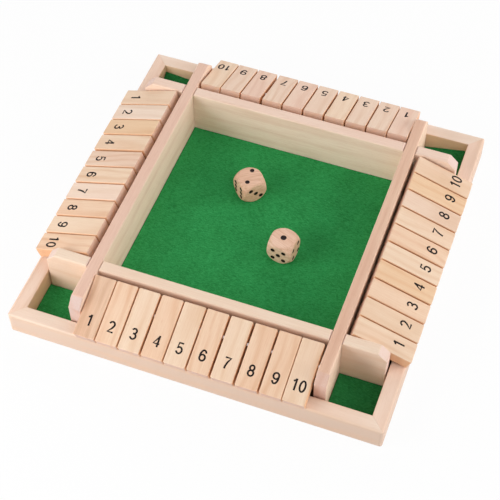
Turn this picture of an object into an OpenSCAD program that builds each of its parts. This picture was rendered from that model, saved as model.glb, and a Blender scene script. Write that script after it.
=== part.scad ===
// Four-sided shut the box board, for up to four players.
// Four mitred rails and a thin base carry a # of half-lapped walls. The walls frame a felted
// dice tray, four small corner pockets and four troughs. In each trough a steel rod carries
// ten number tiles, which slope down to rest on the rail and flip over onto the wall to shut.
// X runs along the front rail, Y to the back and Z up. The origin is under the middle of the base.

/* [Tiles] */
// Width of one number tile along its rod
tile_w = 17.2; // [12:0.1:24]
// Thickness of a tile
tile_t = 9.6; // [7:0.2:12]
// Mean gap between two tiles
tile_gap = 1.2; // [0.5:0.1:1.5]
// Radius of a tile's four corners, seen from above
tile_corner_r = 1.25; // [0.5:0.25:3]
// Rounding along a tile's edges
tile_edge_r = 0.8; // [0.3:0.1:1.5]
// How much nearer to the wall a tile's short end could reach before it touches
tail_clear = 2.4; // [1.5:0.1:4]
// How far a tile reaches past the line where it rests on the rail
tile_overhang = 1.6; // [0.5:0.1:4]
// Air between a resting tile and the rail
rest_clear = 0.1; // [0.05:0.05:0.3]

/* [Rods] */
// Diameter of the steel rods
rod_d = 3; // [2:0.25:4]
// Radial clearance of a rod in the tiles' bores
tile_bore_clear = 0.08; // [0.02:0.01:0.1]
// Radial clearance of a rod in its two blind holes
seat_clear = 0.05; // [0.01:0.01:0.1]
// Distance from the wall's outer face to the rod's axis
rod_setback = 19; // [16:0.5:21]
// Distance from the top of the walls down to the rod's axis
rod_drop = 9; // [7:0.5:12]
// Wood left behind each blind hole
rod_skin = 3.6; // [2:0.2:5]
// End play of a rod in its two blind holes together
rod_play = 0.6; // [0.2:0.1:1.5]

/* [Walls] */
// Thickness of the divider walls
wall_t = 9.6; // [8:0.2:14]
// Height of the walls above the base panel
wall_h = 41; // [34:0.5:50]
// Rounding along the top edges of the walls
wall_edge_r = 1.6; // [0.5:0.1:3.5]
// Size of the chamfer at each end of a wall
wall_chamfer = 7.5; // [3:0.5:12]
// Rounding of the two corners of a chamfer, seen from the side
wall_corner_r = 3; // [0.5:0.5:6]
// Rounding along the edges of a wall's ends
wall_end_r = 0.6; // [0.2:0.1:1.5]
// Gap between the end of a wall and the rail
wall_end_gap = 1.1; // [0.5:0.1:3]
// Clearance at each side of a half-lap slot, and at its bottom
lap_clear = 0.25; // [0.1:0.05:0.6]
// Rounding at the mouth of a half-lap slot
lap_mouth_r = 1.6; // [0.5:0.1:2.5]
// Width of the trough between a wall and the rail
trough_w = 36; // [33:0.5:40]

/* [Rails] */
// Width of the outer rails
rail_w = 12; // [9:0.5:18]
// Height of the outer rails
rail_h = 20.5; // [16:0.5:24]
// Rounding of the rails' outer top edge
rail_edge_r = 2.1; // [1:0.1:4]
// Rounding of the rails' other edges
rail_soft_r = 0.8; // [0.3:0.1:1.2]
// Radius of the board's four corners, seen from above
rail_corner_r = 3; // [1:0.5:8]
// Gap at each side of a mitre joint
mitre_gap = 0.06; // [0.02:0.02:0.2]

/* [Base and felt] */
// Thickness of the base panel
base_t = 3; // [2:0.5:5]
// How far the base panel is let into the rails
base_rebate = 5; // [3:0.5:8]
// Gap round the base panel in its rebate
base_clear = 0.2; // [0.1:0.1:0.5]
// Thickness of the felt
felt_t = 1; // [0.5:0.25:2]
// Gap round each piece of felt
felt_clear = 0.4; // [0.2:0.1:1]

/* [Dice] */
// Size of a die across two opposite faces
die_size = 21.4; // [14:0.2:24]
// Diameter of the ball that rounds off a die's corners
die_ball = 28.6; // [27:0.2:33]
// Rounding of the rims of a die's flat faces
die_rim_r = 3; // [2:0.1:3.2]
// Distance of the outer pips from the middle of a face, each way
pip_spread = 4.6; // [3:0.2:5.6]
// Radius of a pip
pip_r = 1.9; // [1:0.1:2.1]
// Radius of the single pip on the one
pip_one_r = 2.4; // [1.5:0.1:3]
// Depth of a pip
pip_depth = 0.4; // [0.2:0.05:0.6]
// Air between a die and the felt
die_clear = 0.1; // [0.05:0.05:0.3]
// Place of the first die, to the right of the middle
die_a_x = -21.4; // [-60:0.1:60]
// Place of the first die, behind the middle
die_a_y = 38.7; // [-60:0.1:60]
// Turn of the first die
die_a_turn = 48; // [0:1:89]
// Place of the second die, to the right of the middle
die_b_x = 25.8; // [-60:0.1:60]
// Place of the second die, behind the middle
die_b_y = -11.8; // [-60:0.1:60]
// Turn of the second die
die_b_turn = -5; // [-45:1:45]

/* [Hidden] */
$fn = 48;
tile_count = 10;
// How far a cutting shape runs past the surface that it goes through
past = 1;
// How far a rounded rim would pass outside a die's ball, so that they meet at a faint edge
rim_proud = 0.1;
// The front bank turned by 90 degrees at a time gives the right, the back and the left one.
SIDES = ["front", "right", "back", "left"];
// Shares of the free play along each rod: before tile 1, between the tiles, and after tile 10.
PLAY = [
    [4, 4, 6, 9, 5, 7, 10, 11, 9, 3, 10],
    [5, 6, 6, 7, 7, 7, 6, 7, 7, 6, 9],
    [5, 4, 7, 7, 9, 7, 7, 13, 6, 4, 11],
    [6, 5, 5, 6, 10, 6, 7, 6, 6, 6, 8]
];

// Across the board, from the middle outwards
free_play = (tile_count + 1) * tile_gap;
tray_half = (tile_count * tile_w + free_play) / 2;
wall_out = tray_half + wall_t;
rail_in = wall_out + trough_w;
board_half = rail_in + rail_w;
wall_half = rail_in - wall_end_gap;
base_half = rail_in + base_rebate - base_clear;

// Upwards
felt_top = base_t + felt_t;
wall_top = base_t + wall_h;

// A tile turns on its rod and rests on the rounded edge of the rail
rod_y = wall_out + rod_setback;
rod_z = wall_top - rod_drop;
rod_half = tray_half + wall_t - rod_skin - rod_play / 2;
edge_run = board_half - rail_edge_r - rod_y;
edge_drop = rod_z - (rail_h - rail_edge_r);
edge_reach = norm([edge_run, edge_drop]);
edge_off = tile_t / 2 + rail_edge_r + rest_clear;
tile_tilt = atan2(edge_drop, edge_run) - asin(edge_off / edge_reach);
tile_tail = rod_setback - tail_clear;
tile_nose = sqrt(edge_reach * edge_reach - edge_off * edge_off) + tile_overhang;
tile_l = tile_tail + tile_nose;

RAIL_COLOUR = [0.92, 0.80, 0.71];
WALL_COLOUR = [0.93, 0.81, 0.72];
TILE_COLOUR = [0.95, 0.83, 0.70];
BASE_COLOUR = [0.40, 0.28, 0.20];
FELT_COLOUR = [0.13, 0.48, 0.24];
STEEL_COLOUR = [0.75, 0.76, 0.78];
DIE_COLOUR = [0.88, 0.69, 0.56];

// The sliver outside a rounded corner whose two sides run along +X and +Y from the origin.
module corner_sliver(r) {
    difference() {
        translate([-past, -past]) square(r + past);
        translate([r, r]) circle(r = r);
    }
}

// A rectangle from the origin, with a rounding radius for each corner, from lower left round to upper left.
module rounded_rect(size, radii) {
    difference() {
        square(size);
        corner_sliver(radii[0]);
        translate([size.x, 0]) mirror([1, 0]) corner_sliver(radii[1]);
        translate(size) rotate(180) corner_sliver(radii[2]);
        translate([0, size.y]) mirror([0, 1]) corner_sliver(radii[3]);
    }
}

// Extrudes an outline drawn in Y and Z along X, equally to both sides.
module along_x(length) {
    rotate([90, 0, 90]) linear_extrude(height = length, center = true) children();
}

// Extrudes an outline drawn in X and Z along Y, equally to both sides.
module along_y(length) {
    rotate([90, 0, 0]) linear_extrude(height = length, center = true) children();
}

// A slab under the plane Z = 0 as thick as a wall, its two long upper edges rounded.
module soft_slab(r) {
    reach = 4 * board_half;
    translate([0, -wall_t / 2, -reach]) along_x(reach) rounded_rect([wall_t, reach], [r, r, r, r]);
}

// Turns what stands at the front to the given side: 0 front, 1 right, 2 back, 3 left.
module to_side(k) {
    rotate([0, 0, 90 * k]) children();
}

module rail_outline() {
    difference() {
        rounded_rect([rail_w, rail_h], [rail_soft_r, rail_soft_r, rail_soft_r, rail_edge_r]);
        translate([rail_w - base_rebate, -past]) square([base_rebate + past, base_t + past]);
    }
}

module rail() {
    color(RAIL_COLOUR) intersection() {
        translate([0, -board_half, 0]) along_x(2 * board_half) rail_outline();
        linear_extrude(height = rail_h + past) polygon([
            [mitre_gap - board_half, -board_half],
            [board_half - mitre_gap, -board_half],
            [rail_in - mitre_gap, -rail_in],
            [mitre_gap - rail_in, -rail_in]
        ]);
        translate([-board_half, -board_half, -past]) linear_extrude(height = rail_h + 2 * past)
            rounded_rect([2 * board_half, 2 * board_half], [for (i = [1 : 4]) rail_corner_r]);
    }
}

module base_panel() {
    side = 2 * base_half;
    color(BASE_COLOUR) translate([-base_half, -base_half, 0]) cube([side, side, base_t]);
}

// A square of felt between two lines, the same in X and in Y, and turned to corner k.
module felt(low, high, k = 0) {
    side = high - low - 2 * felt_clear;
    color(FELT_COLOUR) rotate([0, 0, 90 * k])
        translate([low + felt_clear, low + felt_clear, base_t]) cube([side, side, felt_t]);
}

// One half of a wall seen from the side, up to its chamfered end with both corners rounded.
module half_side() {
    run = wall_corner_r * tan(22.5);
    slant = run * sin(45);
    lower = [wall_half, wall_h - wall_chamfer];
    upper = [wall_half - wall_chamfer, wall_h];
    polygon([
        [0, 0],
        [wall_half, 0],
        lower - [0, run],
        lower + [-slant, slant],
        upper + [slant, -slant],
        upper - [run, 0],
        [0, wall_h]
    ]);
    translate(lower - [wall_corner_r, run]) circle(r = wall_corner_r);
    translate(upper - [run, wall_corner_r]) circle(r = wall_corner_r);
}

// Rounds the long edges of one end of a wall: along its chamfer and down its end face.
module end_rounding() {
    intersection() {
        translate([wall_half - wall_chamfer / 2, 0, wall_h - wall_chamfer / 2]) rotate([0, 45, 0])
            soft_slab(wall_end_r);
        translate([wall_half, 0, wall_h / 2]) rotate([0, 90, 0]) soft_slab(wall_end_r);
    }
}

// A wall along X with its middle at the origin and its foot at Z = 0, drilled for two rod ends.
module wall_blank() {
    difference() {
        intersection() {
            along_y(wall_t) {
                half_side();
                mirror([1, 0]) half_side();
            }
            translate([0, 0, wall_h]) soft_slab(wall_edge_r);
            end_rounding();
            mirror([1, 0, 0]) end_rounding();
        }
        for (way = [-1, 1])
            translate([way * rod_y, wall_t / 2 + past, rod_z - base_t]) rotate([90, 0, 0])
                cylinder(h = wall_t - rod_skin + past, r = rod_d / 2 + seat_clear);
    }
}

// The half-lap slot of a wall that is let in from above, with a rounded mouth.
module slot_from_above() {
    along_y(wall_t + 2 * past) {
        translate([-wall_t / 2 - lap_clear, wall_h / 2]) square([wall_t + 2 * lap_clear, wall_h]);
        for (way = [0, 1]) mirror([way, 0]) translate([wall_t / 2 + lap_clear, wall_h])
            mirror([0, 1]) corner_sliver(lap_mouth_r);
    }
}

// The half-lap slot of a wall that straddles another from above.
module slot_from_below() {
    translate([-wall_t / 2 - lap_clear, -wall_t / 2 - past, -past])
        cube([wall_t + 2 * lap_clear, wall_t + 2 * past, wall_h / 2 + lap_clear + past]);
}

// Side 0 and 2 have their slots on top, side 1 and 3 run through over them.
module wall(k) {
    color(WALL_COLOUR) to_side(k) translate([0, -tray_half - wall_t / 2, base_t]) difference() {
        wall_blank();
        for (way = [-1, 1]) translate([way * (tray_half + wall_t / 2), 0, 0])
            if (k % 2 == 0) slot_from_above();
            else slot_from_below();
    }
}

module rod(k) {
    color(STEEL_COLOUR) to_side(k) translate([0, -rod_y, rod_z]) rotate([0, 90, 0])
        cylinder(h = 2 * rod_half, r = rod_d / 2, center = true);
}

// A tile with its bore along X at the origin, its number end towards -Y.
module tile() {
    color(TILE_COLOUR) difference() {
        intersection() {
            translate([0, -tile_nose, -tile_t]) linear_extrude(height = 2 * tile_t)
                rounded_rect([tile_w, tile_l], [for (i = [1 : 4]) tile_corner_r]);
            translate([tile_w / 2, -tile_nose, -tile_t / 2]) along_x(tile_w + 2 * past)
                rounded_rect([tile_l, tile_t], [for (i = [1 : 4]) tile_edge_r]);
            translate([0, (tile_tail - tile_nose) / 2, -tile_t / 2]) along_y(tile_l + 2 * past)
                rounded_rect([tile_w, tile_t], [for (i = [1 : 4]) tile_edge_r]);
        }
        translate([tile_w / 2, 0, 0]) rotate([0, 90, 0])
            cylinder(h = tile_w + 2 * past, r = rod_d / 2 + tile_bore_clear, center = true);
    }
}

function sum_of(list, count) = count == 0 ? 0 : list[count - 1] + sum_of(list, count - 1);

// Where tile i of bank k starts along its rod, after its share of the free play.
function tile_start(k, i) =
    (i - 1) * tile_w - tray_half + free_play * sum_of(PLAY[k], i) / sum_of(PLAY[k], tile_count + 1);

module tile_in_bank(k, i) {
    to_side(k) translate([tile_start(k, i), -rod_y, rod_z]) rotate([tile_tilt, 0, 0]) tile();
}

// Places of the pips on a face, in steps of pip_spread from its middle.
function pip_places(value) =
    value == 1 ? [[0, 0]] :
    value == 2 ? [[1, 1], [-1, -1]] :
    value == 3 ? [[-1, 1], [0, 0], [1, -1]] :
    value == 4 ? [for (u = [-1, 1]) for (v = [-1, 1]) [u, v]] :
    value == 5 ? concat(pip_places(4), pip_places(1)) :
    [for (u = [-1, 1]) for (v = [-1, 0, 1]) [u, v]];

// Shallow dimples for one value, sunk into the face at the top.
module pips(value) {
    r = value == 1 ? pip_one_r : pip_r;
    ball = (r * r + pip_depth * pip_depth) / (2 * pip_depth);
    for (place = pip_places(value)) translate(pip_spread * place)
        translate([0, 0, die_size / 2 + ball - pip_depth]) sphere(r = ball);
}

// A round slab as thick as a die, its two rims rounded until they pass just outside the ball.
module die_slab() {
    half = die_size / 2;
    rim_z = half - die_rim_r;
    reach = die_ball / 2 + rim_proud - die_rim_r;
    rim_x = sqrt(reach * reach - rim_z * rim_z);
    leave = (reach + die_rim_r) / reach * [rim_x, rim_z];
    widest = (reach + die_rim_r) * reach / rim_x;
    rotate_extrude() for (way = [0, 1]) mirror([0, way]) {
        polygon([[0, 0], [widest, 0], leave, [rim_x, half], [0, half]]);
        translate([rim_x, rim_z]) circle(r = die_rim_r);
    }
}

// values holds the top, front, right, back, left and bottom face.
module die(values) {
    color(DIE_COLOUR) difference() {
        intersection() {
            sphere(d = die_ball);
            die_slab();
            rotate([90, 0, 0]) die_slab();
            rotate([0, 90, 0]) die_slab();
        }
        pips(values[0]);
        for (k = [0 : 3]) to_side(k) rotate([90, 0, 0]) pips(values[k + 1]);
        rotate([180, 0, 0]) pips(values[5]);
    }
}

module on_felt(x, y, turn) {
    translate([x, y, felt_top + die_clear + die_size / 2]) rotate([0, 0, turn]) children();
}

for (k = [0 : 3]) to_side(k) rail();
base_panel();
felt(-tray_half, tray_half);  // felt_tray
felt(wall_out, rail_in, 0);  // felt_back_right
felt(wall_out, rail_in, 1);  // felt_back_left
felt(wall_out, rail_in, 2);  // felt_front_left
felt(wall_out, rail_in, 3);  // felt_front_right
for (k = [0 : 3]) wall(k);
for (k = [0 : 3]) rod(k);
for (k = [0 : 3]) for (i = [1 : tile_count])
    tile_in_bank(k, i);
on_felt(die_a_x, die_a_y, die_a_turn) die([2, 3, 1, 4, 6, 5]);  // die_a
on_felt(die_b_x, die_b_y, die_b_turn) die([1, 5, 4, 2, 3, 6]);  // die_b
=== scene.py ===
"""A four-sided shut the box board in pale wood: felt, printed numbers, painted pips, wood grain and light.

The construction comes from the frame. This script lays the felt, prints the tiles, paints the dice and
gives every surface its material. Values that end in _MM and the sizes of grain, hairs and blotches are in
millimetres. All other lengths are in metres.
"""

from math import atan2, cos, pi, radians, sin

import bmesh
import bpy
from mathutils import Euler, Matrix, Vector


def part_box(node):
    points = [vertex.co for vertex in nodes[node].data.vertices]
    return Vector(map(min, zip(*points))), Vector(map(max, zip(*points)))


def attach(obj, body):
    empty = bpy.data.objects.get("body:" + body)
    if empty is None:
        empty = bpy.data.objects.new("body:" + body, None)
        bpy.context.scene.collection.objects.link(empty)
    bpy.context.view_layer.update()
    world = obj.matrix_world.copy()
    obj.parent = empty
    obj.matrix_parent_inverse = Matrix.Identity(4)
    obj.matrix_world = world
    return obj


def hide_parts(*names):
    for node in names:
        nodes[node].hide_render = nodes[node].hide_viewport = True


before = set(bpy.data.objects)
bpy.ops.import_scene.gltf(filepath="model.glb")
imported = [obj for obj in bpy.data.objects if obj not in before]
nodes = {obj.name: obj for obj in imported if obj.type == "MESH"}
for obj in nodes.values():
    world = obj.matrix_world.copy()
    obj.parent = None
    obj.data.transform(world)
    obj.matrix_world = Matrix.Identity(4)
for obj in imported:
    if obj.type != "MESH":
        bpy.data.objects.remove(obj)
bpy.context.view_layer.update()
bpy.ops.object.select_all(action="DESELECT")

MM = 0.001
UP = Vector((0, 0, 1))
SIDES = ("front", "right", "back", "left")
TILES = range(1, 11)


# ---------------------------------------------------------------- places read from the frame

# Cosine of the widest angle at which a face still looks roughly one way
ROUGHLY = 0.7


def middle(node):
    """Middle of a node's box."""
    low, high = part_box(node)
    return (low + high) / 2


def flat_face(node, toward):
    """Normal and one point of a node's largest flat face among those that look roughly one way."""
    flats = {}
    for face in nodes[node].data.polygons:
        if face.normal.dot(toward) > ROUGHLY:
            flats.setdefault(tuple(round(part, 2) for part in face.normal), []).append(face)
    largest = max(flats.values(), key=lambda faces: sum(face.area for face in faces))
    return largest[0].normal.copy(), largest[0].center.copy()


def outward(side):
    """Level direction from the middle of the board to one of its sides."""
    turn = SIDES.index(side) * pi / 2
    return Vector((sin(turn), -cos(turn), 0))


def along_side(side):
    """The turn that lays X along one side of the board and Y inwards from it."""
    return Matrix.Rotation(SIDES.index(side) * pi / 2, 3, "Z")


def axes(across, along, normal):
    """The turn that takes X, Y and Z to three perpendicular directions."""
    return Matrix((across, along, normal)).transposed()


def tile_face(side, number):
    """Turn and place of a tile's printed face: X reads rightwards, Y upwards and Z stands off the face.
    The place is the middle of the tile's outer end, on the face."""
    node = f"tile_{side}_{number}"
    normal, point = flat_face(node, UP)
    inward = -outward(side)
    up = (inward - inward.dot(normal) * normal).normalized()
    right = up.cross(normal)
    corners = [vertex.co - point for vertex in nodes[node].data.vertices]
    end = min(corner.dot(up) for corner in corners)
    reach = [corner.dot(right) for corner in corners]
    return axes(right, up, normal), point + end * up + (min(reach) + max(reach)) / 2 * right


# ---------------------------------------------------------------- tools for materials

# A wave texture of scale 1 repeats after this many units
WAVE_PERIOD = 2 * pi / 20
# The levels between which most of a noise lies
NOISE_RANGE = {"From Min": 0.3, "From Max": 0.7}


def srgb(code):
    """An sRGB hex value as linear red, green, blue and alpha."""
    parts = [int(code[i : i + 2], 16) / 255 for i in (1, 3, 5)]
    return [p / 12.92 if p <= 0.04045 else ((p + 0.055) / 1.055) ** 2.4 for p in parts] + [1]


def feed(tree, node, inputs):
    """Fills a node's inputs, each with a plain value or with an output to link."""
    for socket, value in inputs.items():
        if isinstance(value, bpy.types.NodeSocket):
            tree.links.new(value, node.inputs[socket])
        else:
            node.inputs[socket].default_value = value


def add(tree, kind, inputs=None, out=0, **settings):
    """Adds one node with its settings and inputs, and gives one of its outputs."""
    made = tree.nodes.new("ShaderNode" + kind)
    for name, value in settings.items():
        setattr(made, name, value)
    feed(tree, made, inputs or {})
    return made.outputs[out]


def new_material(name):
    """An empty material with its shader, ready for nodes."""
    material = bpy.data.materials.new(name)
    material.use_nodes = True
    tree = material.node_tree
    return material, tree, tree.nodes["Principled BSDF"]


def piece_coordinates(tree, centre, turn):
    """Object coordinates in millimetres from a piece's own middle, with X along its grain."""
    own = {"Vector": add(tree, "TexCoord", out="Object"), "Location": centre, "Rotation": turn.to_euler()}
    placed = add(tree, "Mapping", own, vector_type="TEXTURE")
    return add(tree, "VectorMath", {0: placed, "Scale": 1 / MM}, operation="SCALE")


def blotches(tree, place, long, wide, detail=2, roughness=0.5, out="Fac"):
    """Soft noise from 0 to 1, with blotches so many millimetres long along the grain and so wide across."""
    shrunk = add(tree, "VectorMath", {0: place, 1: (1 / long, 1 / wide, 1 / wide)}, operation="MULTIPLY")
    cloud = {"Vector": shrunk, "Scale": 1, "Detail": detail, "Roughness": roughness}
    return add(tree, "TexNoise", cloud, out)


def tinted(tree, colour, other, pattern, low=0, high=1, most=1):
    """A colour that turns to another as a pattern goes from low to high, by no more than the share most."""
    levels = {"Value": pattern, "From Min": low, "From Max": high, "To Max": most}
    mixed = {"Factor": add(tree, "MapRange", levels), "A": colour, "B": other}
    return add(tree, "Mix", mixed, "Result", data_type="RGBA")


def dress(piece, material):
    """Gives a piece one material all over."""
    piece.data.materials.clear()
    piece.data.materials.append(material)


# ---------------------------------------------------------------- materials


def growth_rings(tree, log, grain):
    """Late wood, from 0 to 1, in rings round the pith of the log that wander as the tree grew unevenly."""
    drift = blotches(tree, log, long=90, wide=26, detail=1, out="Color")
    swing = add(tree, "VectorMath", {0: drift, 1: (0.5, 0.5, 0.5)}, operation="SUBTRACT")
    wander = {0: swing, 1: (0, grain["wander_mm"], grain["wander_mm"]), 2: log}
    growth = {
        "Vector": add(tree, "VectorMath", wander, operation="MULTIPLY_ADD"),
        "Scale": WAVE_PERIOD / grain["ring_mm"],
        "Distortion": 1.2,
        "Detail": 2,
        "Detail Scale": 0.6,
    }
    rings = add(tree, "TexWave", growth, "Fac", wave_type="RINGS", rings_direction="X", wave_profile="SIN")
    return add(tree, "Math", {0: rings, 1: grain["sharpness"]}, operation="POWER")


def sawn_wood(name, centre, turn, cut, tone, grain, faces=()):
    """Pale hardwood, sawn, sanded and rubbed with a thin satin varnish: soft growth rings, fine fibres
    and short pores along the grain, a blush of pink or honey here and there, and almost no shine. Fibres
    and pores are drawn several times as wide as real ones, so that they show.
    cut is where in the log the piece was sawn, in millimetres from its pith. faces lists directions in
    which a surface takes another colour of painted light and shade, at ends mixed with end grain, each
    with that colour and with the cosines between which a surface takes it on."""
    light, late, blush = (srgb(code) for code in tone)
    material, tree, shader = new_material(name)
    own = piece_coordinates(tree, centre, turn)
    log = add(tree, "VectorMath", {0: own, 1: cut}, operation="ADD")
    rings = growth_rings(tree, log, grain)
    patches = blotches(tree, log, long=45, wide=12)
    fibres = blotches(tree, log, long=22, wide=0.8, detail=3, roughness=0.6)
    pores = blotches(tree, log, long=5, wide=0.45, detail=1)
    glow = blotches(tree, log, long=70, wide=22, detail=1)

    # The rings stand out more in some places than in others
    shown = {"Value": patches, **NOISE_RANGE, "To Min": 0.1, "To Max": grain["contrast"]}
    strength = add(tree, "MapRange", shown)
    bands = add(tree, "Math", {0: rings, 1: strength}, operation="MULTIPLY")
    colour = tinted(tree, light, blush, glow, 0.42, 0.66, most=0.75)
    normal = add(tree, "TexCoord", out="Normal")
    # Painted light and shade: each listed direction tints the surfaces that look that way
    for direction, code, cosines in faces:
        turned = add(tree, "VectorMath", {0: normal, 1: direction}, "Value", operation="DOT_PRODUCT")
        colour = tinted(tree, colour, srgb(code), turned, *cosines)
    colour = tinted(tree, colour, late, bands)
    colour = tinted(tree, colour, late, fibres, 0.38, 0.75, most=grain["fibre"])
    colour = tinted(tree, colour, late, pores, 0.62, 0.78, most=0.35)

    # The varnish sinks in between the fibres, which leaves it duller there
    satin = add(tree, "MapRange", {"Value": fibres, **NOISE_RANGE, "To Min": 0.68, "To Max": 0.55})
    relief = add(tree, "Math", {0: fibres, 1: 0.5, 2: rings}, operation="MULTIPLY_ADD")
    bump = add(tree, "Bump", {"Strength": 0.25, "Distance": 0.06 * MM, "Height": relief})
    feed(tree, shader, {"Base Color": colour, "Roughness": satin, "IOR": 1.42, "Normal": bump})
    return material


def hardboard():
    """Brown pressed fibreboard, smooth on both faces: short dark fibres in a mid brown, nearly dull."""
    material, tree, shader = new_material("hardboard")
    board = piece_coordinates(tree, (0, 0, 0), Matrix.Identity(3))
    chips = blotches(tree, board, long=1.5, wide=1.5, detail=4, roughness=0.65)
    clouds = blotches(tree, board, long=60, wide=60)
    colour = tinted(tree, srgb("#6e4c34"), srgb("#4d3323"), chips, 0.35, 0.7)
    colour = tinted(tree, colour, srgb("#7d5a40"), clouds, 0.3, 0.7, most=0.3)
    bump = add(tree, "Bump", {"Strength": 0.3, "Distance": 0.05 * MM, "Height": chips})
    feed(tree, shader, {"Base Color": colour, "Roughness": 0.6, "Normal": bump})
    return material


def wool_felt(name, centre, depth):
    """Green wool felt, pressed and short: a faintly cloudy green, hairs that lie all ways and show light
    on dark, a soft sheen at low angles and no gloss. The hairs are drawn as tufts, far wider than one
    hair of wool, so that they show. depth darkens the whole felt as painted shade for the deep pockets,
    from 1 down."""
    material, tree, shader = new_material(name)
    cloth = piece_coordinates(tree, centre, Matrix.Identity(3))
    clouds = blotches(tree, cloth, long=22, wide=22, detail=3)
    # The hairs are swept aside by up to 3 mm, so that they lie all ways
    swirl = blotches(tree, cloth, long=2.5, wide=2.5, out="Color")
    swept = add(tree, "VectorMath", {0: swirl, 1: (3, 3, 3), 2: cloth}, operation="MULTIPLY_ADD")
    hairs = blotches(tree, swept, long=3.6, wide=0.7, detail=4, roughness=0.7)
    colour = tinted(tree, srgb("#238842"), srgb("#2a9a50"), clouds, 0.25, 0.75)
    colour = tinted(tree, colour, srgb("#46b167"), hairs, 0.45, 0.75, most=0.9)
    colour = tinted(tree, colour, srgb("#15672f"), hairs, 0.5, 0.28, most=0.85)
    # Painted shade: depth darkens the whole felt of a deep pocket
    painted_shade = {"Factor": 1, "A": colour, "B": (depth, depth, depth, 1)}
    shaded_felt = add(tree, "Mix", painted_shade, "Result", data_type="RGBA", blend_type="MULTIPLY")
    bump = add(tree, "Bump", {"Strength": 0.6, "Distance": 0.25 * MM, "Height": hairs})
    feed(tree, shader, {"Base Color": shaded_felt, "Roughness": 0.95, "Specular IOR Level": 0.2, "Normal": bump})
    feed(tree, shader, {"Sheen Weight": 0.15, "Sheen Roughness": 0.5, "Sheen Tint": srgb("#7fd095")})
    return material


def drawn_steel(name, centre, turn):
    """Plain steel wire, drawn through a die: bright, with faint lines along its length."""
    material, tree, shader = new_material(name)
    wire = piece_coordinates(tree, centre, turn)
    lines = blotches(tree, wire, long=15, wide=0.15)
    colour = tinted(tree, srgb("#d0d1d3"), srgb("#efeff0"), lines)
    polish = add(tree, "MapRange", {"Value": lines, **NOISE_RANGE, "To Min": 0.32, "To Max": 0.48})
    bump = add(tree, "Bump", {"Strength": 0.2, "Distance": 0.01 * MM, "Height": lines})
    feed(tree, shader, {"Base Color": colour, "Roughness": polish, "Metallic": 1, "Normal": bump})
    return material


def black_print():
    """Black printing ink stamped on sanded wood: not quite black, and thinner where the grain shows."""
    material, tree, shader = new_material("black_print")
    sheet = piece_coordinates(tree, (0, 0, 0), Matrix.Identity(3))
    wear = blotches(tree, sheet, long=0.9, wide=0.9, detail=3, roughness=0.6)
    colour = tinted(tree, srgb("#1c1413"), srgb("#362b28"), wear, 0.45, 0.8)
    feed(tree, shader, {"Base Color": colour, "Roughness": 0.8, "Specular IOR Level": 0.2})
    return material


def pip_paint():
    """Thick black lacquer dropped into the pips: deep black with a soft shine."""
    material, tree, shader = new_material("pip_paint")
    drop = piece_coordinates(tree, (0, 0, 0), Matrix.Identity(3))
    skin = blotches(tree, drop, long=0.8, wide=0.8)
    colour = tinted(tree, srgb("#12080a"), srgb("#241214"), skin)
    shine = add(tree, "MapRange", {"Value": skin, **NOISE_RANGE, "To Min": 0.45, "To Max": 0.6})
    feed(tree, shader, {"Base Color": colour, "Roughness": shine, "Specular IOR Level": 0.15})
    return material


# ---------------------------------------------------------------- wood on the rails, walls, tiles and dice

# Light wood, late rings and blush of each tone
PALE = ("#fae3d0", "#e3bd9d", "#f6d8c3")
FAIR = ("#f9dcc8", "#e2b797", "#f5d1bb")
BLEACHED = ("#fdeadb", "#e8c5a7", "#f9dfcd")
BLOND = ("#f6dec7", "#dfb592", "#f2d3bb")
SHELL = ("#f8dbc8", "#dcb094", "#f2cdb9")
CREAM = ("#f6dabf", "#dfb28a", "#f2d0b4")
PEACH = ("#f5d4b7", "#dda67c", "#f1c8a8")
HONEY = ("#f3d0ac", "#dfa97a", "#efc7a1")
SAND = ("#f3d7c0", "#dbad8a", "#efccb5")
ROSE = ("#f4d4be", "#dcaa8e", "#efc9b3")
RUDDY = ("#ebc6a9", "#c79673", "#e4b797")
BLUSH = ("#eec9b4", "#d2a086", "#e8bca8")
TAN = ("#edc7ad", "#cc9676", "#e6bba2")
TAWNY = ("#f3ccb2", "#c48a63", "#e8b99c")
BUFF = ("#fbdac4", "#cd9670", "#f2c8af")

# Tones of tiles 1 to 10 on each side, of the rails, the walls and the dice
TILE_TONES = {
    "front": (RUDDY, PEACH, CREAM, PEACH, CREAM, PEACH, CREAM, PEACH, PEACH, CREAM),
    "right": (CREAM, CREAM, PEACH, HONEY, CREAM, PEACH, CREAM, SAND, HONEY, CREAM),
    "back": (ROSE, SAND, SAND, CREAM, SAND, ROSE, SAND, ROSE, SAND, CREAM),
    "left": (CREAM, PALE, HONEY, CREAM, SAND, CREAM, PALE, PEACH, CREAM, PEACH),
}
RAIL_TONES = {"front": PALE, "right": FAIR, "back": BLEACHED, "left": FAIR}
WALL_TONES = {"front": BLOND, "right": TAN, "back": SHELL, "left": BLUSH}
DICE_TONES = {"die_a": TAWNY, "die_b": BUFF}

# Colours of the other faces, which carry painted light and shade: sides and outer and inner ends of the
# tiles, outer and inner sides of the rails, and the broad sides of the walls. The tile sides and ends and
# the rail sides are darkened by painted shade, the inner rail sides warmer as from bounce light, and the
# wall sides take painted light and shade of their own
TILE_SIDE_SHADE = "#ecba90"
TILE_END_SHADE = "#d8b8aa"
TILE_BUTT_SHADE = "#d9b4a0"
RAIL_SIDE_SHADE = "#dcc1ae"
RAIL_INSIDE_SHADE = "#ebccaa"
WALL_SIDE_SHADING = {"front": "#efd3bd", "right": "#f6dac2", "back": "#fde5d1", "left": "#f9dec8"}
# The two ends of each wall, rightwards and leftwards for the player on that side: end grain, partly
# toned down by painted shade where the lamps light an end strongly
WALL_END_GRAIN_AND_SHADE = {
    "front": ("#ebcfc4", "#ebcfc4"),
    "right": ("#e4c2b1", "#e0bdae"),
    "back": ("#e4c7bc", "#e8ccc4"),
    "left": ("#d7c0b8", "#e0c4b8"),
}
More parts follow.
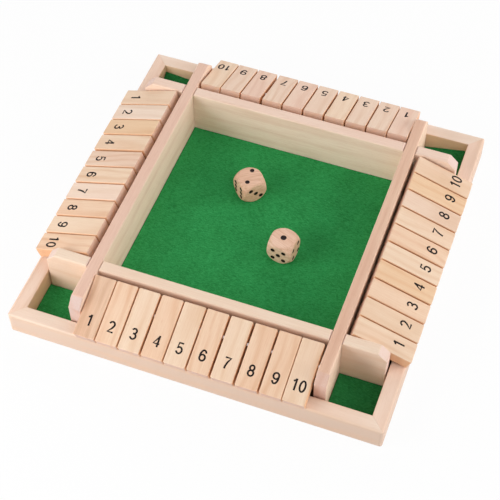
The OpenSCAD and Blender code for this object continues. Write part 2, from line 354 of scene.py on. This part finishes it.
# A face takes on the colour listed for it, painted light and shade included, as a surface turns towards
# it, between these two cosines: on the flat alone, or, at the ends of the walls, from the chamfers on
ON_FLAT = (0.55, 0.95)
FROM_CHAMFER = (0.4, 0.75)

# Width and unevenness of the growth rings, how thin the late wood is in them, and how much it and the
# fibres show
TILE_GRAIN = {"ring_mm": 7.0, "wander_mm": 16.0, "sharpness": 2.2, "contrast": 0.55, "fibre": 0.32}
WALL_GRAIN = {"ring_mm": 12.0, "wander_mm": 7.0, "sharpness": 4.0, "contrast": 0.32, "fibre": 0.3}
RAIL_GRAIN = {"ring_mm": 9.0, "wander_mm": 9.0, "sharpness": 3.0, "contrast": 0.5, "fibre": 0.22}
DICE_GRAIN = {"ring_mm": 4.0, "wander_mm": 6.0, "sharpness": 2.2, "contrast": 0.3, "fibre": 0.75}

# Where pieces come from in the log: each one this much further along it and, in radians, further round a
# point beside its pith, and all at one distance from that point
CUT_ALONG_MM = 137.0
CUT_TURN = 2.399
CUT_RADIUS_MM = 34
PITH_OFF_MM = 20
# First numbers of the rails, the walls and the dice in the log. The tiles have 1 to 40
RAIL_CUTS = 50
WALL_CUTS = 60
DIE_CUTS = 70


def sawn_at(number):
    """A place in the log for the piece of that number: every piece is sawn from another one."""
    turn = number * CUT_TURN
    off = CUT_RADIUS_MM * sin(turn) + PITH_OFF_MM
    return Vector((number * CUT_ALONG_MM, off, CUT_RADIUS_MM * cos(turn)))


def dress_rail(side, cut, lay):
    """A rail's grain runs along it, and its upright sides are darkened by painted shade, the inner side
    warmer as from bounce light.
    """
    node = f"rail_{side}"
    across = lay.col[1]
    # Painted shade: both upright sides take darker colours, the inner side warmer as from bounce light
    faces = [(-across, RAIL_SIDE_SHADE, ON_FLAT), (across, RAIL_INSIDE_SHADE, ON_FLAT)]
    tone = RAIL_TONES[side]
    dress(nodes[node], sawn_wood(f"{node}_wood", middle(node), lay, cut, tone, RAIL_GRAIN, faces))


def dress_wall(side, cut, lay):
    """A wall's grain runs along it. Its broad sides take painted light and shade of their own, and its ends
    show end grain, partly darkened by painted shade.
    """
    node = f"wall_{side}"
    along, across = lay.col[0], lay.col[1]
    rightwards, leftwards = WALL_END_GRAIN_AND_SHADE[side]
    # Painted light and shade: the broad sides take their own lightness, and the ends are toned down
    faces = [(way, WALL_SIDE_SHADING[side], ON_FLAT) for way in (across, -across)]
    faces += [(along, rightwards, FROM_CHAMFER), (-along, leftwards, FROM_CHAMFER)]
    tone = WALL_TONES[side]
    dress(nodes[node], sawn_wood(f"{node}_wood", middle(node), lay, cut, tone, WALL_GRAIN, faces))


def dress_tile(side, number, cut):
    """A tile's grain runs from its outer to its inner end, and both ends show end grain. Its ends and
    sides are darkened by painted shade.
    """
    node = f"tile_{side}_{number}"
    turn, _ = tile_face(side, number)
    right, up = turn.col[0], turn.col[1]
    with_grain = turn @ Matrix.Rotation(pi / 2, 3, "Z")
    # Painted shade: the sides and both ends of a tile take darker colours, as in the gaps and beside the
    # wall
    faces = [(way, TILE_SIDE_SHADE, ON_FLAT) for way in (right, -right)]
    faces += [(-up, TILE_END_SHADE, ON_FLAT), (up, TILE_BUTT_SHADE, ON_FLAT)]
    tone = TILE_TONES[side][number - 1]
    dress(nodes[node], sawn_wood(f"{node}_wood", middle(node), with_grain, cut, tone, TILE_GRAIN, faces))


for k, side in enumerate(SIDES):
    lay = along_side(side)
    dress_rail(side, sawn_at(k + RAIL_CUTS), lay)
    dress_wall(side, sawn_at(k + WALL_CUTS), lay)
    rod = f"rod_{side}"
    dress(nodes[rod], drawn_steel(f"{rod}_steel", middle(rod), lay))
    for number in TILES:
        dress_tile(side, number, sawn_at(10 * k + number))

dress(nodes["base_panel"], hardboard())


# ---------------------------------------------------------------- felt

# Spacing of the grid, how far the cloth lies unevenly, and the rounding of its cut edge
FELT_STEP_MM = 2.0
FELT_WAVES_MM = 0.12
FELT_EDGE_MM = 0.25
# Degrees past which an edge of the cloth is rounded, and past which its shading breaks
FELT_CORNER = 60
FELT_CREASE = 50
# Waves of the unevenness along X and Y, in radians a metre: long ones that cross, and short slanting ones
LONG_WAVES = (91, 77)
SHORT_WAVES = (233, 187)
# How far the back edge of the felt climbs the rail in the two back pockets: in the corner of the board,
# and at the wall. It starts to climb at this share of the way back, and ever more steeply
CLIMBS_MM = {"felt_back_right": (8.5, 1.0), "felt_back_left": (9.0, 5.5)}
CLIMB_FROM = 0.375
CLIMB_POWER = 1.7
# The felt in the pockets is darkened by these shares, as painted shade for the deep pockets
POCKET_SHADES = {"felt_front_left": 0.95, "felt_front_right": 0.62, "felt_back_right": 0.68, "felt_back_left": 0.62}


def climb(node, across, back):
    """Height of the felt above its bed, where across runs from the corner of the board to the wall and
    back runs from the front edge to the back edge, both from 0 to 1."""
    at_corner, at_wall = CLIMBS_MM.get(node, (0, 0))
    share = max(0.0, (back - CLIMB_FROM) / (1 - CLIMB_FROM))
    return (at_corner + (at_wall - at_corner) * across) * MM * share**CLIMB_POWER


def ripple(place):
    """Unevenness of the felt at a place, from -1 to 1."""
    long = sin(place.x * LONG_WAVES[0]) * sin(place.y * LONG_WAVES[1] + 1)
    short = sin(place.x * SHORT_WAVES[0] + place.y * SHORT_WAVES[1])
    return (long + 0.5 * short) / 1.5


def thicken_felt(felt, thickness):
    """Gives the cloth its thickness downwards, and softens its cut edge."""
    thicken = felt.modifiers.new("thickness", "SOLIDIFY")
    thicken.thickness = thickness
    thicken.offset = -1
    bpy.ops.object.modifier_apply(modifier="thickness")
    soften = felt.modifiers.new("soft edge", "BEVEL")
    soften.width = FELT_EDGE_MM * MM
    soften.segments = 2
    soften.limit_method = "ANGLE"
    soften.angle_limit = radians(FELT_CORNER)
    bpy.ops.object.modifier_apply(modifier="soft edge")
    bpy.ops.object.shade_smooth_by_angle(angle=radians(FELT_CREASE))


def lay_felt(node):
    """A piece of felt in place of its plain solid: a fine grid, uneven by a hair, then given thickness."""
    low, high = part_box(node)
    size = high - low
    steps = round(size.x / (FELT_STEP_MM * MM))
    centre = (low + high) / 2
    bpy.ops.mesh.primitive_grid_add(x_subdivisions=steps, y_subdivisions=steps, size=1, location=(0, 0, 0))
    felt = bpy.context.object
    felt.name = f"{node}_cloth"
    for vertex in felt.data.vertices:
        share = vertex.co.copy()
        place = Vector((share.x * size.x + centre.x, share.y * size.y + centre.y, high.z))
        across = 0.5 + share.x if centre.x < 0 else 0.5 - share.x
        place.z += climb(node, across, 0.5 + share.y) + FELT_WAVES_MM * MM * (ripple(place) - 1)
        vertex.co = place
    thicken_felt(felt, size.z - 2 * FELT_WAVES_MM * MM)
    # The cloth was cut as long as it is along the middle, from the front edge up to the raised back edge
    dress(felt, wool_felt(f"{node}_wool", centre, POCKET_SHADES.get(node, 1.0)))
    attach(felt, "frame")
    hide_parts(node)
    felt.select_set(False)


for node in ("felt_tray", "felt_front_left", "felt_front_right", "felt_back_right", "felt_back_left"):
    lay_felt(node)


# ---------------------------------------------------------------- numbers

# A digit is drawn one unit high, as the middle lines of its strokes, which are this wide
STROKE = 0.15
# Height of a printed digit, and how much broader than drawn it is
DIGIT_MM = 9.0
DIGIT_SPREAD = 1.08
# Thickness of the ink, and by what share each stroke of a digit is thicker than the one before it: no two
# faces lie in one plane when they melt together
INK_MM = 0.05
INK_STEP = 0.02
# From a tile's outer end to the middle of its number, and how far the print sits off the middle
PRINT_MM = {"front": 13.8, "right": 13.8, "back": 12.2, "left": 12.6}
SHIFT_MM = {"front": 0.0, "right": 1.4, "back": 0.6, "left": 0.3}
# Between the middles of the two digits of the ten
TEN_PITCH = 0.62
# Heights of the middle lines of a digit's level strokes, at its head and its foot
HEAD = 0.947
FOOT = 0.053
# Degrees between points on an arc, and the fewest stretches in one
ARC_STEP = 12
ARC_LEAST = 6
# A stroke whose ends are this near each other is a closed loop
SAME_POINT = 0.01
# Points of a stroke's solid this near each other are welded into one
WELD = 1e-5


def arc(x, y, wide, high, start, end):
    """Points on an ellipse round (x, y), from one angle in degrees to another."""
    steps = max(ARC_LEAST, round(abs(end - start) / ARC_STEP))
    turns = [radians(start + (end - start) * i / steps) for i in range(steps + 1)]
    return [(x + wide * cos(turn), y + high * sin(turn)) for turn in turns]


def upside_down(strokes):
    """The same strokes turned by half a turn about the middle of the digit."""
    return [[(-x, 1 - y) for x, y in stroke] for stroke in strokes]


SIX = [
    arc(0, 0.31, 0.215, 0.26, -180, 180),
    arc(0.015, 0.48, 0.23, 0.467, 32, 188),
]
DIGITS = {
    0: [arc(0, 0.5, 0.205, 0.447, -180, 180)],
    1: [[(-0.15, 0.75), (-0.03, 0.83), (0.05, 0.95)], [(0.06, 1.0), (0.06, 0.0)]],
    2: [arc(0, 0.70, 0.205, 0.247, 168, -18) + [(0.1, 0.42), (-0.2, FOOT), (0.25, FOOT)]],
    3: [
        arc(-0.015, 0.735, 0.185, 0.212, 160, -90) + [(-0.07, 0.518)],
        [(-0.08, 0.53)] + arc(-0.015, 0.288, 0.215, 0.235, 90, -162),
    ],
    4: [[(0.11, 0.93), (-0.24, 0.285), (0.25, 0.285)], [(0.11, 1.0), (0.11, 0.0)]],
    5: [[(0.21, HEAD), (-0.13, HEAD), (-0.18, 0.5)] + arc(0, 0.325, 0.215, 0.272, 132, -160)],
    6: SIX,
    7: [[(-0.23, HEAD), (0.22, HEAD), (0.04, 0.6), (-0.06, 0.25), (-0.08, 0.0)]],
    8: [arc(0, 0.735, 0.175, 0.212, -180, 180), arc(0, 0.288, 0.21, 0.235, -180, 180)],
    9: upside_down(SIX),
}


def poly_line(name, dimensions, points, closed):
    """A curve through points, as an object of its own. Each point is (x, y)."""
    line = bpy.data.curves.new(name, "CURVE")
    line.dimensions = dimensions
    run = line.splines.new("POLY")
    run.points.add(len(points) - 1)
    for knot, (x, y) in zip(run.points, points):
        knot.co = (x, y, 0, 1)
    run.use_cyclic_u = closed
    drawn = bpy.data.objects.new(name, line)
    bpy.context.collection.objects.link(drawn)
    return drawn


def stroke_solid(points, thickness):
    """A ribbon of ink along one stroke, as a closed solid about the plane Z = 0."""
    closed = (Vector(points[0]) - Vector(points[-1])).length < SAME_POINT
    corners = [(x * STROKE / 2, y * thickness / 2) for x, y in ((-1, -1), (1, -1), (1, 1), (-1, 1))]
    nib = poly_line("nib", "2D", corners, True)
    solid = poly_line("stroke", "3D", points[:-1] if closed else points, closed)
    solid.data.twist_mode = "Z_UP"
    solid.data.bevel_mode = "OBJECT"
    solid.data.bevel_object = nib
    solid.data.use_fill_caps = True
    bpy.context.view_layer.objects.active = solid
    solid.select_set(True)
    bpy.ops.object.convert(target="MESH")
    solid.select_set(False)
    bpy.data.objects.remove(nib)
    # The caps come loose from the conversion, so they are welded on and everything turned outward
    shell = bmesh.new()
    shell.from_mesh(solid.data)
    bmesh.ops.remove_doubles(shell, verts=shell.verts, dist=WELD)
    bmesh.ops.recalc_face_normals(shell, faces=shell.faces)
    shell.to_mesh(solid.data)
    shell.free()
    return solid


def digit_mesh(value):
    """The mesh of one digit: its strokes melted into one solid."""
    thin = INK_MM / DIGIT_MM
    parts = [stroke_solid(points, thin * (1 + i * INK_STEP)) for i, points in enumerate(DIGITS[value])]
    digit = parts[0]
    for part in parts[1:]:
        bpy.context.view_layer.objects.active = digit
        melt = digit.modifiers.new("melt", "BOOLEAN")
        melt.operation = "UNION"
        melt.solver = "EXACT"
        melt.object = part
        bpy.ops.object.modifier_apply(modifier="melt")
        bpy.data.objects.remove(part)
    mesh = digit.data.copy()
    bpy.data.objects.remove(digit)
    return mesh


def join_copies(name, meshes):
    """One piece from several meshes that are already in place, left selected."""
    copies = [bpy.data.objects.new(name, mesh) for mesh in meshes]
    for copy in copies:
        bpy.context.collection.objects.link(copy)
        copy.select_set(True)
    bpy.context.view_layer.objects.active = copies[0]
    if len(copies) > 1:
        bpy.ops.object.join()
    return copies[0]


def print_number(side, number, glyphs, ink):
    """Prints a tile's number near its outer end, upright for the player on that side."""
    turn, end = tile_face(side, number)
    digits = [int(letter) for letter in str(number)]
    meshes = []
    for i, value in enumerate(digits):
        offset = (i - (len(digits) - 1) / 2) * TEN_PITCH
        meshes.append(glyphs[value].copy())
        meshes[-1].transform(Matrix.Translation((offset, -0.5, 0)))
    printed = join_copies(f"number_{side}_{number}", meshes)
    place = end + turn @ Vector((SHIFT_MM[side], PRINT_MM[side], 0)) * MM
    scale = Matrix.Diagonal((DIGIT_SPREAD, 1, 1, 1)) * (DIGIT_MM * MM)
    scale[3][3] = 1
    printed.data.transform(Matrix.Translation(place) @ turn.to_4x4() @ scale)
    dress(printed, ink)
    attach(printed, f"tile_{side}_{number}")
    printed.select_set(False)


glyphs = {value: digit_mesh(value) for value in DIGITS}
ink = black_print()
for side in SIDES:
    for number in TILES:
        print_number(side, number, glyphs, ink)
for mesh in glyphs.values():
    bpy.data.meshes.remove(mesh)


# ---------------------------------------------------------------- dice

# The values on the top, front, right, back, left and bottom of each die, and where its front looks
DICE = {
    "die_a": ((2, 3, 1, 4, 6, 5), Vector((1, -1, 0)).normalized()),
    "die_b": ((1, 5, 4, 2, 3, 6), Vector((0, -1, 0))),
}
# The turn of a die's grain off its edges, in radians
DIE_GRAIN_TURN = 0.3
# Between two pips, radius of a pip and of the single one, and depth of the dimples, as the dice have them
PIP_STEP_MM = 4.6
PIP_MM = 1.9
ONE_PIP_MM = 2.4
PIP_DEPTH_MM = 0.4
# The lacquer reaches a little into the wood, and fills the dimple partly, so that its face stays hollow
PAINT_SINK = 1.06
PAINT_FACE_MM = 0.16
# Stretches from a pip's rim to its middle, and round it
BOWL_STEPS = 5
SPIN_STEPS = 24
# Points of a drop this near each other are welded, and its shading breaks past this many degrees
PIP_WELD_MM = 0.002
PIP_CREASE = 40
# Where the pips of each value sit, in steps to the right and up
PIP_PLACES = {
    1: ((0, 0),),
    2: ((1, 1), (-1, -1)),
    3: ((-1, 1), (0, 0), (1, -1)),
    4: ((-1, -1), (-1, 1), (1, -1), (1, 1)),
    5: ((-1, -1), (-1, 1), (1, -1), (1, 1), (0, 0)),
    6: ((-1, -1), (-1, 0), (-1, 1), (1, -1), (1, 0), (1, 1)),
}


def bowl(radius, depth):
    """Points down a shallow bowl from its rim to its middle, as (radius, height)."""
    ball = (radius**2 + depth**2) / (2 * depth)
    turns = [(1 - i / BOWL_STEPS) * atan2(radius, ball - depth) for i in range(BOWL_STEPS + 1)]
    return [(ball * sin(turn), ball - depth - ball * cos(turn)) for turn in turns]


def pip_mesh(radius_mm):
    """A drop of lacquer with its rim at Z = 0: a bowl below, a shallower bowl above, spun round Z."""
    under = bowl(radius_mm * MM, PIP_DEPTH_MM * PAINT_SINK * MM)
    over = bowl(radius_mm * MM, PAINT_FACE_MM * MM)
    outline = [Vector((r, 0, z)) for r, z in reversed(over)] + [Vector((r, 0, z)) for r, z in under[1:]]
    mesh = bpy.data.meshes.new("pip")
    mesh.from_pydata(outline, [(i, i + 1) for i in range(len(outline) - 1)], [])
    pip = bpy.data.objects.new("pip", mesh)
    bpy.context.collection.objects.link(pip)
    bpy.context.view_layer.objects.active = pip
    pip.select_set(True)
    bpy.ops.object.mode_set(mode="EDIT")
    bpy.ops.mesh.select_all(action="SELECT")
    bpy.ops.mesh.spin(steps=SPIN_STEPS, angle=2 * pi, center=(0, 0, 0), axis=(0, 0, 1))
    bpy.ops.mesh.select_all(action="SELECT")
    bpy.ops.mesh.remove_doubles(threshold=PIP_WELD_MM * MM)
    bpy.ops.mesh.normals_make_consistent(inside=False)
    bpy.ops.object.mode_set(mode="OBJECT")
    bpy.ops.object.shade_smooth_by_angle(angle=radians(PIP_CREASE))
    pip.select_set(False)
    bpy.data.objects.remove(pip)
    return mesh


def face_turns(front):
    """The turns that take a die's top face to its six faces, in the order of DICE."""
    heading = Matrix.Rotation(atan2(front.x, -front.y), 4, "Z")
    tip = Matrix.Rotation(pi / 2, 4, "X")
    sides = [heading @ Matrix.Rotation(i * pi / 2, 4, "Z") @ tip for i in range(4)]
    return [heading, *sides, heading @ Matrix.Rotation(pi, 4, "X")]


def paint_pips(die, values, front, pip, one_pip, paint):
    """Fills every dimple of a die with lacquer, as one piece."""
    low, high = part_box(die)
    half = (high.z - low.z) / 2
    meshes = []
    for value, turn in zip(values, face_turns(front)):
        for u, v in PIP_PLACES[value]:
            place = Vector((u * PIP_STEP_MM * MM, v * PIP_STEP_MM * MM, half))
            meshes.append((one_pip if value == 1 else pip).copy())
            meshes[-1].transform(Matrix.Translation(middle(die)) @ turn @ Matrix.Translation(place))
    drops = join_copies(f"pips_{die}", meshes)
    dress(drops, paint)
    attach(drops, die)
    drops.select_set(False)


pip, one_pip = pip_mesh(PIP_MM), pip_mesh(ONE_PIP_MM)
paint = pip_paint()
for i, (die, (values, look)) in enumerate(DICE.items()):
    front, _ = flat_face(die, look)
    grain = axes(front.cross(UP), UP, front) @ Matrix.Rotation(DIE_GRAIN_TURN, 3, "Y")
    cut = sawn_at(DIE_CUTS + i)
    dress(nodes[die], sawn_wood(f"{die}_wood", middle(die), grain, cut, DICE_TONES[die], DICE_GRAIN))
    paint_pips(die, values, front, pip, one_pip, paint)
for mesh in (pip, one_pip):
    bpy.data.meshes.remove(mesh)


# ---------------------------------------------------------------- floor, light and camera

# The floor lies a hair under the board, so that the two never share a plane
FLOOR_SIZE = 8.0
FLOOR_DROP = 0.0002
# Share of plain white in the floor as it is seen: the rest takes the shadows
FLOOR_GLOW = 0.94
# Strength of the even light from all round
SKY = 0.3
# Place, size and watts of each lamp
LAMPS = {
    "front left": ((-0.59, -0.59, 0.337), 0.65, 5.7),
    "front right": ((0.886, -0.886, 1.494), 1.4, 5),
    "right": ((1.81, 0.0, 0.73), 1.4, 14),
    "back right": ((0.784, 0.285, 0.337), 0.65, 1.9),
    "back": ((-0.35, 1.8, 0.73), 1.4, 14),
}
# Place of the camera and its angles in degrees, its lens, and how far the lens is shifted up
CAMERA_AT = Vector((0.2154, -0.5887, 0.8227))
CAMERA_AZIMUTH = 20.72
CAMERA_ELEVATION = 53.34
CAMERA_ROLL = -0.62
LENS_MM = 90.9
SENSOR_MM = 36
SHIFT_UP = 0.0031


def seen_directly(tree):
    """1 where a camera, mirror or glass ray looks, else 0."""
    camera = add(tree, "LightPath", out="Is Camera Ray")
    mirror = add(tree, "LightPath", out="Is Glossy Ray")
    glass = add(tree, "LightPath", out="Is Transmission Ray")
    seen = add(tree, "Math", {0: camera, 1: mirror}, operation="MAXIMUM")
    return add(tree, "Math", {0: seen, 1: glass}, operation="MAXIMUM")


def lay_floor():
    """A white floor that reaches past the view and keeps a light shadow of the board."""
    bpy.ops.mesh.primitive_plane_add(size=FLOOR_SIZE, location=(0, 0, -FLOOR_DROP))
    floor = bpy.context.object
    floor.name = "floor"
    material, tree, shader = new_material("white_floor")
    feed(tree, shader, {"Base Color": srgb("#f4f4f4"), "Roughness": 0.9, "Specular IOR Level": 0.1})
    glow = add(tree, "Emission", {"Color": srgb("#ffffff"), "Strength": 1})
    share = add(tree, "Math", {0: seen_directly(tree), 1: FLOOR_GLOW}, operation="MULTIPLY")
    mixed = add(tree, "MixShader", {0: share, 1: shader.outputs[0], 2: glow})
    feed(tree, tree.nodes["Material Output"], {"Surface": mixed})
    dress(floor, material)
    floor.select_set(False)


def light_sky():
    """Even white light from all round, and plain white behind the board."""
    world = bpy.data.worlds.new("studio")
    bpy.context.scene.world = world
    world.use_nodes = True
    tree = world.node_tree
    soft = tree.nodes["Background"]
    feed(tree, soft, {"Color": srgb("#ffffff"), "Strength": SKY})
    white = add(tree, "Background", {"Color": srgb("#ffffff"), "Strength": 1})
    mixed = add(tree, "MixShader", {0: seen_directly(tree), 1: soft.outputs[0], 2: white})
    feed(tree, tree.nodes["World Output"], {"Surface": mixed})


def hang_lamp(name, place, size, power):
    """A square soft box at a place, aimed at the middle of the board, and out of the picture."""
    lamp = bpy.data.lights.new(name, "AREA")
    lamp.size = size
    lamp.energy = power
    holder = bpy.data.objects.new(name, lamp)
    bpy.context.collection.objects.link(holder)
    holder.location = place
    holder.rotation_euler = (-Vector(place)).to_track_quat("-Z", "Y").to_euler()
    holder.visible_camera = False


def set_camera():
    """The camera, high over the front and a little to the right."""
    camera = bpy.data.cameras.new("camera")
    camera.lens = LENS_MM
    camera.sensor_width = SENSOR_MM
    camera.shift_y = SHIFT_UP
    holder = bpy.data.objects.new("camera", camera)
    bpy.context.collection.objects.link(holder)
    level = Euler((radians(90 - CAMERA_ELEVATION), 0, radians(CAMERA_AZIMUTH))).to_matrix()
    roll = Matrix.Rotation(radians(CAMERA_ROLL), 3, "Z")
    holder.matrix_world = Matrix.Translation(CAMERA_AT) @ (level @ roll).to_4x4()
    bpy.context.scene.camera = holder


lay_floor()
light_sky()
for name, (place, size, power) in LAMPS.items():
    hang_lamp(name, place, size, power)
set_camera()
bpy.context.scene.view_settings.view_transform = "Standard"
